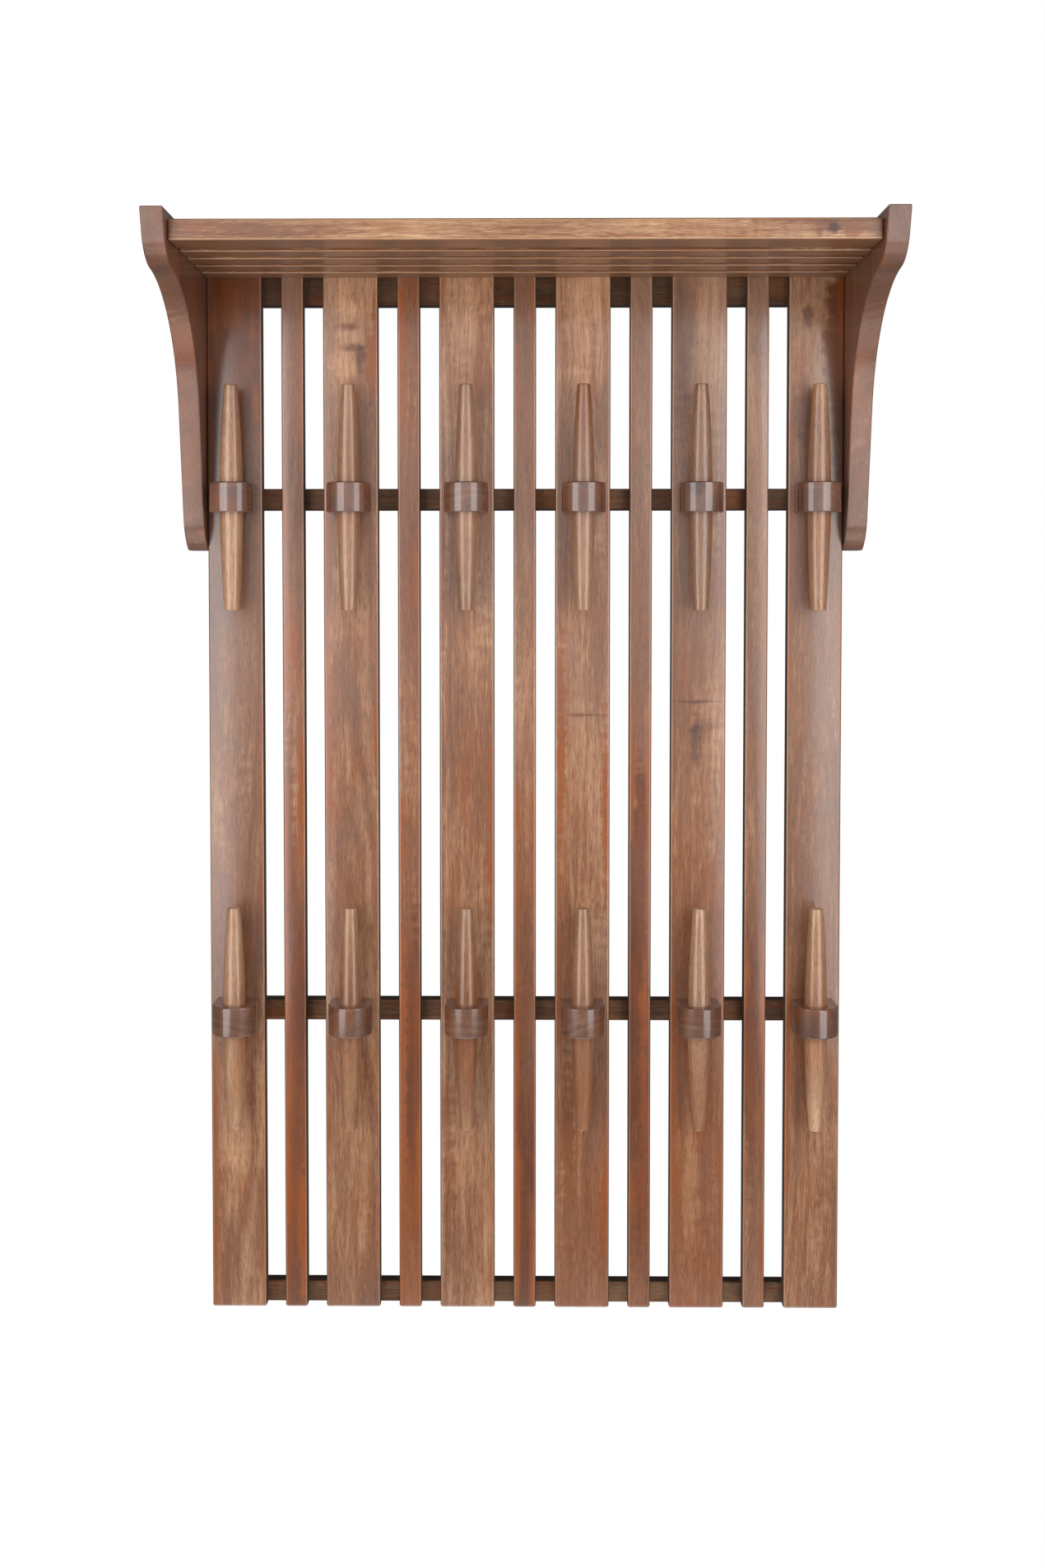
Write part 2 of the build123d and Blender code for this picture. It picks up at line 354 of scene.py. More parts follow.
def painted_sheen_share(tree, wood, sheen_amount, contrast):
    """How far the painted sheen covers: where the tones ask for it and in some patches."""
    spread = add_node(tree, "MapRange", {0: wood["painted sheen patches"], 1: 0.5, 2: 0.66, 4: 0.24 * contrast})
    return add_up(tree, sheen_amount, [(spread, 1.0)])


print("bloom:", painted_sheen_colour)

# %% [markdown]
# Then comes what sawing and light do to a board. The long edges of its face get a painted highlight, a pale
# line where the eased edge catches the lamps. Its sawn sides are painted nearly black, a painted shade of the
# narrow gaps between the slats, and they get hardly any lacquer.
#
# The shelf is seen from below and the rails from above, so their level faces get a painted shade in a colour
# of their own, and the rounded edges that turn towards them can get a painted highlight as well.

# %% Edges, sides and level faces
# Painted shade: the sawn sides of the slats, deep in the gaps, are painted nearly black.
painted_side_shade = "#140a05"
face_end = 1.1 * mm
side_start = 0.5 * mm


def past_the_face(tree, edge_distance, on_face, on_side):
    """A value that changes where the face of a board ends and its sawn side begins."""
    change = {0: edge_distance, 1: face_end, 2: side_start, 3: on_face, 4: on_side}
    return add_node(tree, "MapRange", change)


def edge_layers(tree, edge_distance, pale):
    """A painted highlight along the long edges of a face, and the painted shade of the sawn sides beyond
    them.
    """
    # Painted highlight: a pale line just inside each long edge of a slat's face.
    edge_highlight = add_node(tree, "MapRange", {0: edge_distance, 1: 2.6 * mm, 2: 1.8 * mm, 4: 0.28})
    return [(edge_highlight, pale), (past_the_face(tree, edge_distance, 0.0, 0.85), painted_side_shade)]


def level_layers(tree, level_face_shade, level_shade_share, pale, turned_edge_highlight):
    """A painted highlight on the rounded edges that turn up or down, and painted shade on the level faces."""
    normal = add_node(tree, "NewGeometry", output="Normal")
    rise = add_node(tree, "SeparateXYZ", {0: normal}, "Z")
    levelness = add_node(tree, "Math", {0: rise}, operation="ABSOLUTE")
    # Painted highlight: rounded edges that turn up or down are laid pale.
    turned = add_node(tree, "MapRange", {0: levelness, 1: 0.1, 2: 0.3, 4: turned_edge_highlight})
    # Painted shade: faces that look up or down take their own darker colour.
    level = add_node(tree, "MapRange", {0: levelness, 1: 0.5, 2: 0.8, 4: level_shade_share})
    return [(turned, pale), (level, level_face_shade)]


print("a board's face ends", face_end / mm, "mm from its sawn side")

# %% [markdown]
# Last comes the lacquer. A satin lacquer is a clear coat with a soft, wide gloss over wood that is itself
# rather matt. The streaks and pores give it a relief of hundredths of a millimetre, which breaks the gloss
# up along the grain. One function now puts a whole wood together, and each wood below only says in what it
# differs. The brackets' wood is the first.

# %% Stained hardwood
pore_stain = "#2c160c"


def stained_hardwood(
    name,
    read=read_board,
    deep="#3d1c0f",
    middle="#865636",
    pale="#c99a74",
    warm="#8f4608",
    contrast=1.0,
    marks=(),
    level_face_shade=None,
    level_shade_share=0.0,
    turned_edge_highlight=0.0,
    coat=1.0,
    coat_roughness=0.20,
    ior=1.5,
    specular=0.5,
):
    """Brown-stained hardwood with a satin lacquer: a soft wide gloss over warm, low-contrast figure."""
    material, tree = new_material(name)
    grain, stain, edge_distance = read(tree)
    lightness, warmth, sheen_amount = add_node(tree, "SeparateXYZ", {0: stain}).node.outputs
    drift = drift_of(tree, grain)
    wood = figure_of(tree, grain, drift)
    if marks:
        lightness, warmth = place_marks(tree, marks, drift, wood["curl"], lightness, warmth)
    pore = add_node(tree, "MapRange", {0: wood["pores"], 1: 0.56, 2: 0.72})

    layers = [
        (warm_share(tree, wood, warmth, edge_distance, contrast), warm),
        # Painted sheen in patches and where the tones ask for it.
        (painted_sheen_share(tree, wood, sheen_amount, contrast), painted_sheen_colour),
        (add_up(tree, 0.0, [(pore, 0.42)]), pore_stain),
        *edge_layers(tree, edge_distance, pale),
    ]
    if level_face_shade:
        layers += level_layers(tree, level_face_shade, level_shade_share, pale, turned_edge_highlight)
    brown = brown_at(tree, tone_of(tree, wood, lightness, contrast), deep, middle, pale)

    roughness = past_the_face(tree, edge_distance, 0.40, 1.0)
    relief = add_up(tree, 0.0, [(wood["streaks"], 0.6), (pore, -1.0)])
    lacquered = {
        "Base Color": lay_over(tree, brown, layers),
        "Roughness": add_up(tree, roughness, [(wood["streaks"], 0.16)]),
        "IOR": ior,
        "Specular IOR Level": specular,
        "Coat Weight": past_the_face(tree, edge_distance, coat, 0.0),
        "Coat Roughness": coat_roughness,
        "Coat IOR": ior,
        "Normal": add_node(tree, "Bump", {"Height": relief, "Strength": 0.25, "Distance": 0.15 * mm}),
    }
    add_node(tree, "OutputMaterial", {0: add_node(tree, "BsdfPrincipled", lacquered)})
    return material


# Thick boards of a darker brown under a thinner satin coat.
bracket_wood = stained_hardwood(
    "stained_bracket_wood", deep="#3a1b0e", middle="#71462e", pale="#b08468", coat=0.7
)
print("nodes in the brackets' wood:", len(bracket_wood.node_tree.nodes))

# %% [markdown]
# The slats are what the eye rests on, so their marks are set one by one. Each mark is a place, a size and
# a change of stain: the x and z of its middle, half its width and half its height, all in mm on the rack,
# and then how much lighter and how much warmer the stain is there. They fall into five kinds, and knots on
# the shelf and on one block come after them.

# %% Marks of the boards
# A knot with a drying check above it, and a lone check on the next wide slat.
knots_and_checks = [
    (191.0, -507.0, 8.0, 34.0, -0.26, 0.0),
    (197.0, -488.0, 13.0, 16.0, -0.14, 0.0),
    (193.0, -461.0, 30.0, 2.4, -0.30, 0.0),
    (64.0, -476.0, 34.0, 2.0, -0.25, 0.0),
]
# Pale and dark bands where the grain curls under the shelf, with a warm edge here and there.
curl_at_the_heads = [
    (-330.0, -20.0, 46.0, 130.0, -0.10, 0.25),
    (-326.0, -23.0, 15.0, 40.0, 0.28, 0.10),
    (-311.0, -67.0, 13.0, 18.0, -0.30, 0.0),
    (-301.0, -140.0, 6.0, 40.0, -0.10, 0.60),
    (-197.0, -7.0, 15.0, 34.0, 0.22, 0.0),
    (-195.0, -34.0, 19.0, 18.0, 0.18, 0.0),
    (-195.0, -46.0, 17.0, 6.0, -0.24, 0.0),
    (-192.0, -57.0, 19.0, 15.0, 0.20, 0.0),
    (-191.0, -69.0, 17.0, 6.0, -0.24, 0.0),
    (-198.0, -88.0, 18.0, 22.0, 0.24, 0.0),
    (-180.0, -80.0, 9.0, 19.0, -0.30, 0.0),
    (-166.0, -78.0, 9.0, 60.0, -0.05, 0.85),
    (-137.0, -54.0, 6.0, 60.0, 0.0, 0.70),
    (-137.0, -36.0, 7.0, 12.0, -0.35, 0.0),
    (-70.0, -38.0, 18.0, 80.0, 0.16, 0.0),
    (-49.0, -94.0, 10.0, 80.0, -0.12, 0.25),
    (58.0, -30.0, 24.0, 80.0, 0.14, 0.0),
    (174.0, -60.0, 16.0, 110.0, -0.26, 0.0),
    (203.0, -36.0, 17.0, 80.0, 0.24, 0.0),
    (313.0, -35.0, 7.0, 14.0, -0.40, 0.0),
    (318.0, -80.0, 22.0, 80.0, 0.12, 0.0),
    (345.0, -70.0, 16.0, 140.0, -0.50, 0.45),
    (309.0, -141.0, 14.0, 42.0, -0.30, 0.10),
]
# Edges where the stain was rubbed thin and the warm undertone shows.
warm_edges = [
    (-219.0, -530.0, 6.0, 80.0, -0.05, 0.90),
    (-165.0, -510.0, 5.0, 90.0, -0.10, 0.70),
    (-38.0, -600.0, 7.0, 120.0, -0.02, 0.90),
    (-91.0, -330.0, 6.0, 90.0, -0.15, 0.50),
    (39.0, -520.0, 7.0, 190.0, 0.0, 0.90),
    (90.0, -580.0, 6.0, 140.0, -0.05, 0.80),
    (90.0, -1040.0, 6.0, 70.0, 0.0, 0.90),
    (-258.0, -395.0, 10.0, 80.0, 0.14, 0.55),
    (-250.0, -570.0, 6.0, 120.0, 0.05, 0.70),
    (-248.0, -1060.0, 6.0, 90.0, 0.15, 0.70),
    (-138.0, -620.0, 6.0, 90.0, 0.0, 0.80),
    (-138.0, -900.0, 7.0, 260.0, 0.0, 1.0),
    (138.0, -520.0, 6.0, 100.0, 0.15, 0.60),
    (267.0, -530.0, 5.0, 45.0, 0.05, 0.80),
]
# Heartwood that took more stain, mostly low on the narrow slats.
dark_heartwood = [
    (-265.0, -620.0, 9.0, 130.0, -0.34, 0.50),
    (127.0, -625.0, 11.0, 100.0, -0.62, 0.20),
    (-265.0, -900.0, 8.0, 200.0, -0.25, 0.35),
    (-121.0, -900.0, 6.0, 220.0, -0.36, 0.25),
    (-7.0, -950.0, 7.0, 190.0, -0.40, 0.20),
    (134.0, -900.0, 7.0, 200.0, -0.30, 0.35),
    (250.0, -860.0, 8.0, 170.0, -0.32, 0.30),
    (-86.0, -1000.0, 9.0, 160.0, -0.16, 0.10),
    (50.0, -960.0, 10.0, 150.0, -0.16, 0.15),
    (205.0, -930.0, 12.0, 150.0, -0.14, 0.10),
]
# Two paler streaks low on wide slats.
pale_sapwood = [
    (-180.0, -980.0, 10.0, 150.0, 0.10, 0.0),
    (332.0, -950.0, 10.0, 160.0, 0.10, 0.0),
]
slat_marks = knots_and_checks + curl_at_the_heads + warm_edges + dark_heartwood + pale_sapwood

# A knot near the right end of the shelf's front rail, with the wood that grew round it.
shelf_knot = [
    (303.0, 18.0, 7.0, 6.5, -0.50, 0.0),
    (294.0, 22.0, 22.0, 14.0, -0.12, 0.0),
    (322.0, 17.0, 12.0, 16.0, -0.10, 0.30),
]
# A small knot in the nose of an upper block.
block_knot = [(188.0, -226.0, 11.0, 8.0, -0.60, 0.0)]
print("marks on the slats:", len(slat_marks))

# %% [markdown]
# The other woods differ from the slats' as the stock and the finishing do. The shelf is the palest, with a
# thinner coat and a painted shade of brown on its lower faces. The blocks are the darkest, and their coat is
# thick and glossy. The pegs are even and pale, because turning hides the figure. The rails are matt and
# greyer, and their upper faces carry a nearly black painted shade between the slats. Only the bottom rail,
# in the open light, is painted a little lighter.

# %% Woods of the rack
# Brown-stained boards under a full satin coat.
slat_wood = stained_hardwood("stained_slat_wood", marks=slat_marks)

# The same stock, taken paler, with the thinner coat of faces that nobody handles.
shelf_wood = stained_hardwood(
    "stained_shelf_wood",
    pale="#d3a87e",
    marks=shelf_knot,
    # Painted shade: the shelf's level faces, seen from below, are a darker brown.
    level_face_shade="#6e452c",
    level_shade_share=0.88,
    # Painted highlight on the rounded edges that turn to those faces.
    turned_edge_highlight=0.45,
    coat=0.5,
)

# Dark heartwood under a polished coat.
block_wood = stained_hardwood(
    "stained_block_wood",
    deep="#2a1409",
    middle="#603823",
    pale="#94694f",
    contrast=0.9,
    marks=block_knot,
    coat_roughness=0.11,
    ior=1.6,
)

# Plain, lightly stained wood, polished on the lathe.
peg_wood = stained_hardwood(
    "stained_turned_peg_wood",
    deep="#6a4026",
    middle="#a37755",
    pale="#cfab89",
    contrast=0.5,
    coat_roughness=0.12,
)

# Stained but unlacquered rails, which take hardly any gloss.
# Painted light: the bottom rail is painted lighter, as it stands in the open light.
painted_light_on_bottom_rail = [(0.0, -1134.0, 600.0, 40.0, 0.28, 0.0)]
rail_wood = stained_hardwood(
    "stained_rail_wood",
    read=read_place,
    deep="#2b1910",
    middle="#5d4230",
    pale="#8a694f",
    marks=painted_light_on_bottom_rail,
    # Painted shade: the rails' level faces are nearly black.
    level_face_shade="#120904",
    level_shade_share=0.90,
    coat=0.0,
    specular=0.15,
)
print("woods:", [wood.name for wood in bpy.data.materials if wood.name.startswith("stained")])

# %% [markdown]
# Every wooden piece is modelled as a joiner works. It starts from a blank of the right size, gets its shape
# in edit mode, and its edges are eased last. An operator acts on all that is selected, so everything is
# deselected first, and what it should act on is then chosen by its place.

# %% Modelling helpers
sharp_angle = math.radians(35)


def start_blank(node, add_primitive, **settings):
    """Add a primitive as the blank of a wooden piece, and edit it with nothing selected."""
    bpy.ops.object.select_all(action="DESELECT")
    add_primitive(**settings)
    bpy.ops.object.transform_apply(location=True, rotation=True, scale=True)
    blank = bpy.context.object
    blank.name = node + "_wood"
    bpy.ops.object.mode_set(mode="EDIT")
    bpy.ops.mesh.select_mode(type="VERT")
    bpy.ops.mesh.select_all(action="DESELECT")
    return blank


def choose(piece, kind, test):
    """Select the vertices, edges or faces of a piece in edit mode that pass a test."""
    bpy.ops.object.mode_set(mode="OBJECT")
    for item in getattr(piece.data, kind):
        item.select = bool(test(item))
    bpy.ops.object.mode_set(mode="EDIT")


def edge_is_at(piece, edge, axis, *places):
    """Whether an edge lies wholly at one of some places on the axis x, y or z."""
    near = 0.1 * mm
    ends = [getattr(piece.data.vertices[number].co, axis) for number in edge.vertices]
    return any(all(abs(end - place) < near for end in ends) for place in places)


def apply_modifier(piece, kind, **settings):
    """Add a modifier with its settings and apply it at once."""
    bpy.ops.object.select_all(action="DESELECT")
    piece.select_set(True)
    bpy.context.view_layer.objects.active = piece
    modifier = piece.modifiers.new(kind.lower(), kind)
    for setting, value in settings.items():
        setattr(modifier, setting, value)
    bpy.ops.object.modifier_apply(modifier=modifier.name)


def ease_edges(piece, width, segments=3):
    """Round the sharp edges of a piece, and keep its flat faces shaded flat."""
    for polygon in piece.data.polygons:
        polygon.use_smooth = True
    settings = {"width": width, "segments": segments, "limit_method": "ANGLE", "angle_limit": sharp_angle}
    apply_modifier(piece, "BEVEL", harden_normals=True, **settings)


print("edges sharper than", round(math.degrees(sharp_angle)), "degrees are rounded")

# %% [markdown]
# No two boards took the stain alike, and none took it alike from end to end. So each piece has a few tones
# from one end to the other, and a tone is a name for how much lighter and warmer the stain is and how much
# painted sheen lies on it. The bright, ashen, grey and dull tones are partly painted light: the bright ones a
# painted highlight, the others a painted sheen where the lacquer would catch the lamps. Between two tones the
# stain changes evenly.

# %% Tones
tone_levels = {
    "plain": (0.0, 0.0, 0.0),
    "soft": (-0.08, 0.0, 0.05),
    "pale": (0.12, 0.0, 0.0),
    "bright": (0.22, 0.0, 0.0),
    "ashen": (0.11, 0.0, 0.42),
    "grey": (-0.06, 0.0, 0.30),
    "dull": (-0.16, 0.0, 0.20),
    "warm": (-0.02, 0.34, 0.0),
    "brown": (-0.16, 0.22, 0.0),
    "red": (-0.34, 0.42, 0.0),
    "dark": (-0.44, 0.34, 0.0),
    "deepest": (-0.60, 0.30, 0.0),
}


def stain_and_light_at(tones, share):
    """The lightness, warmth and painted sheen at a share of the way through evenly spaced tones."""
    place = min(max(share, 0.0), 1.0) * (len(tones) - 1)
    before = min(int(place), len(tones) - 2)
    ease = place - before
    pairs = zip(tone_levels[tones[before]], tone_levels[tones[before + 1]])
    return [a + (b - a) * ease for a, b in pairs]


print("halfway from plain to pale:", [round(value, 2) for value in stain_and_light_at(["plain", "pale"], 0.5)])

# %% [markdown]
# A shaped piece then gets its notes for the wood. It is taken from somewhere in a log nine metres long, a
# few centimetres from the pith, and it leans a little in the tree. The name of the piece seeds the draw,
# so a piece looks the same each time. Only the slats get the width that brings out worn and warm edges.

# %% Grain and finish of a piece
slats = [f"wide_slat_{i}" for i in range(1, 7)] + [f"narrow_slat_{i}" for i in range(1, 6)]
across_deep_along = {"X": (2, 1, 0), "Y": (0, 2, 1), "Z": (0, 1, 2)}


def note_wood(piece, node, along, tones):
    """Write the grain, which runs along X, Y or Z, the place across, and the tones from the high end down."""
    low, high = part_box(node)
    centre, half = (low + high) / 2, (high - low) / 2
    draw = random.Random(node)
    cut_from = Vector((draw.uniform(-25, 25), draw.uniform(28, 75), draw.uniform(0, 9000))) * mm
    lean = draw.uniform(-0.035, 0.035)
    wide, deep, long = across_deep_along[along]
    grain, across, stain = [], [], []
    for vertex in piece.data.vertices:
        offset = vertex.co - centre
        leaning = offset[deep] + lean * offset[long]
        grain += list(Vector((offset[wide], leaning, offset[long])) + cut_from)
        across += [offset[wide] / half[wide], half[wide], 0.0] if node in slats else [0.0, 1.0, 0.0]
        stain += stain_and_light_at(tones, 0.5 - 0.5 * offset[long] / half[long])
    for name, values in (("grain", grain), ("across", across), ("stain", stain)):
        piece.data.attributes.new(name, "FLOAT_VECTOR", "POINT").data.foreach_set("vector", values)


def finish_piece(piece, node, material, slot, along, *tones):
    """Give a wooden piece its grain, its finish and its place on the rack, and hide its CAD node."""
    note_wood(piece, node, along, tones if len(tones) > 1 else tones * 2)
    piece.data.materials.clear()
    piece.data.materials.append(material)
    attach(piece, "root")
    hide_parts(node)


print("pieces whose long edges are known:", len(slats))

# %% [markdown]
# The boards come first, and of them the shelf: its front rail and the four slats behind it. Each is planed
# stock, sawn square, with its edges just broken by sandpaper. A bevel modifier with a few segments gives
# the thin line of light that such an edge catches; a single chamfer would look machined. The long edges
# are cut up first, so that there are vertices along the board to carry the tones. The lower corners of an
# upright board can be rounded a little more.

# %% Planed boards
board_ease = 1.4 * mm
front_rail_ease = 2.4 * mm
slat_foot_round = 2.5 * mm
tone_cuts = 11


def planed_board(node, ease=board_ease, foot_round=0.0):
    """A board in the place of a CAD node, with its edges eased and its lower corners rounded if asked."""
    low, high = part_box(node)
    size = high - low
    long_way = max("xyz", key=lambda way: getattr(size, way))
    ends = (getattr(low, long_way), getattr(high, long_way))
    middle = (low + high) / 2
    board = start_blank(node, bpy.ops.mesh.primitive_cube_add, size=1.0, location=middle, scale=size)
    bpy.ops.mesh.select_mode(type="EDGE")
    choose(board, "edges", lambda edge: not edge_is_at(board, edge, long_way, *ends))
    bpy.ops.mesh.subdivide(number_cuts=tone_cuts)
    if foot_round:
        choose(
            board,
            "edges",
            lambda edge: edge_is_at(board, edge, "z", low.z) and edge_is_at(board, edge, "x", low.x, high.x),
        )
        bpy.ops.mesh.bevel(offset=foot_round, segments=4, affect="EDGES")
    bpy.ops.object.mode_set(mode="OBJECT")
    ease_edges(board, ease)
    return board


front_rail = planed_board("shelf_front_rail", front_rail_ease)
finish_piece(front_rail, "shelf_front_rail", shelf_wood, "frame_wood", "X", "soft", "pale", "bright", "soft")
for node in [f"shelf_slat_{i}" for i in range(1, 5)]:
    finish_piece(planed_board(node), node, shelf_wood, "frame_wood", "X", "plain")
print("faces of the front rail:", len(front_rail.data.polygons))

# %% [markdown]
# The slats are such boards too. Each has five tones from its head, under the shelf, to its foot. The heads
# are bright or ashen, and that is partly painted light: it lifts the shade under the shelf and lays a painted
# highlight and sheen there. The deepest head of the first wide slat is partly painted shade beside the
# bracket. The middle of a board is mostly plain, and the narrow slats darken towards the foot.

# %% Slats
slat_tones = {
    "wide_slat_1": ("deepest", "dull", "grey", "plain", "pale"),
    "wide_slat_2": ("bright", "plain", "plain", "pale", "plain"),
    "wide_slat_3": ("bright", "plain", "plain", "pale", "pale"),
    "wide_slat_4": ("bright", "plain", "pale", "plain", "warm"),
    "wide_slat_5": ("ashen", "grey", "plain", "warm", "warm"),
    "wide_slat_6": ("bright", "grey", "grey", "pale", "plain"),
    "narrow_slat_1": ("ashen", "soft", "plain", "red", "dark"),
    "narrow_slat_2": ("brown", "brown", "plain", "dark", "warm"),
    "narrow_slat_3": ("dull", "grey", "pale", "brown", "deepest"),
    "narrow_slat_4": ("ashen", "grey", "brown", "deepest", "brown"),
    "narrow_slat_5": ("ashen", "ashen", "grey", "brown", "plain"),
}
for node in slats:
    slat = planed_board(node, foot_round=slat_foot_round)
    finish_piece(slat, node, slat_wood, "slat_wood", "Z", *slat_tones[node])
print("slats:", len(slats), "faces each:", len(slat.data.polygons))

# %% [markdown]
# A bracket is band-sawn from a thick board along an S: a steep nose, a tight rounded belly, a long hollow,
# a straight stem and a rounded foot. The outline is straights and arcs that run into each other. So the
# front skin is drawn as a ribbon: one edge is extruded along each straight and spun round the centre of
# each arc. Then the whole ribbon is extruded and pressed flat on the wall plane, which makes the sides.
#
# A slope is the angle from straight down, turned towards the wall. The length of the stem isn't given: it
# is as long as it has to be for the foot to end at the bottom of the bracket.

# %% Straights and rounds
nose_bevel = 25.0 * mm
nose_slope = math.radians(18.0)
nose_radius = 41.5 * mm
under_nose_slope = math.radians(83.5)
hollow_radius = 155.0 * mm
stem_slope = math.radians(10.4)
foot_radius = 49.0 * mm
foot_slope = math.radians(63.0)


def run_straight(start, length, slope):
    """Extrude the ribbon's free edge along a straight, and return where the straight ends."""
    step = Vector((0.0, math.sin(slope), -math.cos(slope))) * length
    bpy.ops.mesh.extrude_region_move(TRANSFORM_OT_translate={"value": step})
    return start + step


def run_round(start, slope_from, slope_to, radius, steps):
    """Spin the ribbon's free edge from one slope to another, and return where the arc ends."""
    turn = slope_to - slope_from
    side = math.copysign(1.0, turn)
    centre = start + Vector((0.0, math.cos(slope_from), math.sin(slope_from))) * side * radius
    bpy.ops.mesh.spin(steps=steps, angle=-turn, center=centre, axis=(1.0, 0.0, 0.0))
    return centre - Vector((0.0, math.cos(slope_to), math.sin(slope_to))) * side * radius


print("the belly turns through", round(math.degrees(under_nose_slope - nose_slope), 1), "degrees")

# %% [markdown]
# Sawing a bracket is now a list of straights and rounds. The ribbon starts as a plane that has lost its
# back half, so that one edge as long as the bracket is thick is left.

# %% S-curved brackets
bracket_ease = 3.0 * mm


def saw_bracket(node):
    """A bracket in the place of its CAD node, and the point where its outline ends."""
    low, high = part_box(node)
    thickness = high.x - low.x
    nose_top = Vector(((low.x + high.x) / 2, low.y, high.z))
    bracket = start_blank(node, bpy.ops.mesh.primitive_plane_add, size=thickness, location=nose_top)
    choose(bracket, "vertices", lambda vertex: vertex.co.y > nose_top.y)
    bpy.ops.mesh.delete(type="VERT")
    bpy.ops.mesh.select_all(action="SELECT")
    bpy.ops.transform.translate(value=(0.0, thickness / 2, 0.0))

    point = run_straight(nose_top, nose_bevel, nose_slope)
    point = run_round(point, nose_slope, under_nose_slope, nose_radius, steps=16)
    point = run_round(point, under_nose_slope, stem_slope, hollow_radius, steps=30)
    foot_rise = foot_radius * (math.sin(foot_slope) - math.sin(stem_slope))
    stem_length = (point.z - low.z - foot_rise) / math.cos(stem_slope)
    point = run_straight(point, stem_length, stem_slope)
    point = run_round(point, stem_slope, foot_slope, foot_radius, steps=14)

    bpy.ops.mesh.select_all(action="SELECT")
    bpy.ops.mesh.extrude_region_move()
    bpy.ops.transform.resize(value=(1.0, 0.0, 1.0), center_override=(0.0, high.y, 0.0))
    bpy.ops.mesh.select_all(action="SELECT")
    bpy.ops.mesh.remove_doubles(threshold=0.01 * mm)
    bpy.ops.mesh.normals_make_consistent(inside=False)
    bpy.ops.object.mode_set(mode="OBJECT")
    ease_edges(bracket, bracket_ease, segments=4)
    return bracket, point


for node in ("left_bracket", "right_bracket"):
    bracket, end = saw_bracket(node)
    finish_piece(bracket, node, bracket_wood, "frame_wood", "Z", "dull", "brown", "dull")
    print(node, "faces:", len(bracket.data.polygons), "foot ends", round(end.y / mm, 1), "mm from the wall")

# %% [markdown]
# A hook block is a short D-shaped piece: a half-round nose on a square back, bored upright for the peg. It
# starts as a cylinder round the peg's axis. The back half is cut away, the two open edges are drawn back to
# the slat, and the back, top and bottom are closed. The rims are eased, and only then is it bored, so that
# the bore keeps a crisp edge against the peg.

# %% D-shaped hook blocks
block_ease = 1.6 * mm
peg_body_radius = 12.5 * mm
hooks = [(row, i) for row in ("upper", "lower") for i in range(1, 7)]


def saw_block(node, peg):
    """A block in the place of its CAD node, bored where its peg stands."""
    low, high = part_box(node)
    peg_low, peg_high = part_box(peg)
    height = high.z - low.z
    axis = Vector(((low.x + high.x) / 2, (peg_low.y + peg_high.y) / 2, (low.z + high.z) / 2))
    blank = {"vertices": 72, "radius": (high.x - low.x) / 2, "depth": height, "location": axis}
    block = start_blank(node, bpy.ops.mesh.primitive_cylinder_add, **blank)
    choose(block, "vertices", lambda vertex: vertex.co.y > axis.y + 0.01 * mm)
    bpy.ops.mesh.delete(type="VERT")
    choose(block, "edges", lambda edge: edge_is_at(block, edge, "y", axis.y))
    bpy.ops.mesh.select_mode(type="EDGE")
    bpy.ops.mesh.extrude_edges_move(TRANSFORM_OT_translate={"value": (0.0, high.y - axis.y, 0.0)})
    bpy.ops.mesh.edge_face_add()
    for level in (low.z, high.z):
        choose(block, "edges", lambda edge: edge_is_at(block, edge, "z", level))
        bpy.ops.mesh.edge_face_add()
    bpy.ops.mesh.select_all(action="SELECT")
    bpy.ops.mesh.normals_make_consistent(inside=False)
    bpy.ops.object.mode_set(mode="OBJECT")
    ease_edges(block, block_ease)

    bpy.ops.object.select_all(action="DESELECT")
    drilled = height * 1.2
    bpy.ops.mesh.primitive_cylinder_add(vertices=64, radius=peg_body_radius, depth=drilled, location=axis)
    drill = bpy.context.object
    apply_modifier(block, "BOOLEAN", object=drill, operation="DIFFERENCE", solver="EXACT")
    bpy.data.objects.remove(drill)
    return block


for row, i in hooks:
    node = f"{row}_block_{i}"
    block = saw_block(node, f"{row}_peg_{i}")
    finish_piece(block, node, block_wood, "block_wood", "Y", "plain")
print("blocks:", len(hooks), "faces each:", len(block.data.polygons))

# %% [markdown]
# A peg is turned on a lathe: a straight seat in the block and a slightly swelling taper to each end, with
# the rim of the end just rounded. Its profile is two short formulas: a straight line plus a swell for the
# taper, and a quarter circle for the rim.

# %% Profile of a peg
peg_swell = 0.8 * mm
peg_tip_ease = 1.3 * mm


def taper_radius(share, tip_radius):
    """The radius along the taper, from 0 at the block to 1 at the tip: a straight line plus a swell."""
    straight = peg_body_radius + (tip_radius - peg_body_radius) * share
    return straight + 4 * peg_swell * share * (1 - share)


def taper_profile(length, tip_radius, taper_steps=9, rim_steps=4):
    """The rises and radii of a taper and its rounded rim, from the block to the end face."""
    shares = [step / taper_steps for step in range(1, taper_steps + 1)]
    profile = [(length * share, taper_radius(share, tip_radius)) for share in shares]
    for step in range(1, rim_steps + 1):
        turn = math.radians(90) * step / rim_steps
        rise = length + peg_tip_ease * math.sin(turn)
        profile.append((rise, tip_radius - peg_tip_ease * (1 - math.cos(turn))))
    return profile


print("thickness halfway up a taper:", round(2 * taper_radius(0.5, 7.45 * mm) / mm, 1), "mm")

# %% [markdown]
# A peg starts as the cylinder of its seat, and each end face is extruded and scaled in small steps that
# follow the profile. The rim of the first end is still selected when it is done, so everything is deselected
# before the second, or that rim would be extruded along with it, into the peg. The upper tips and the lower
# ones aren't turned quite alike, so each row of pegs has two tip sizes, one above the block and one below it.

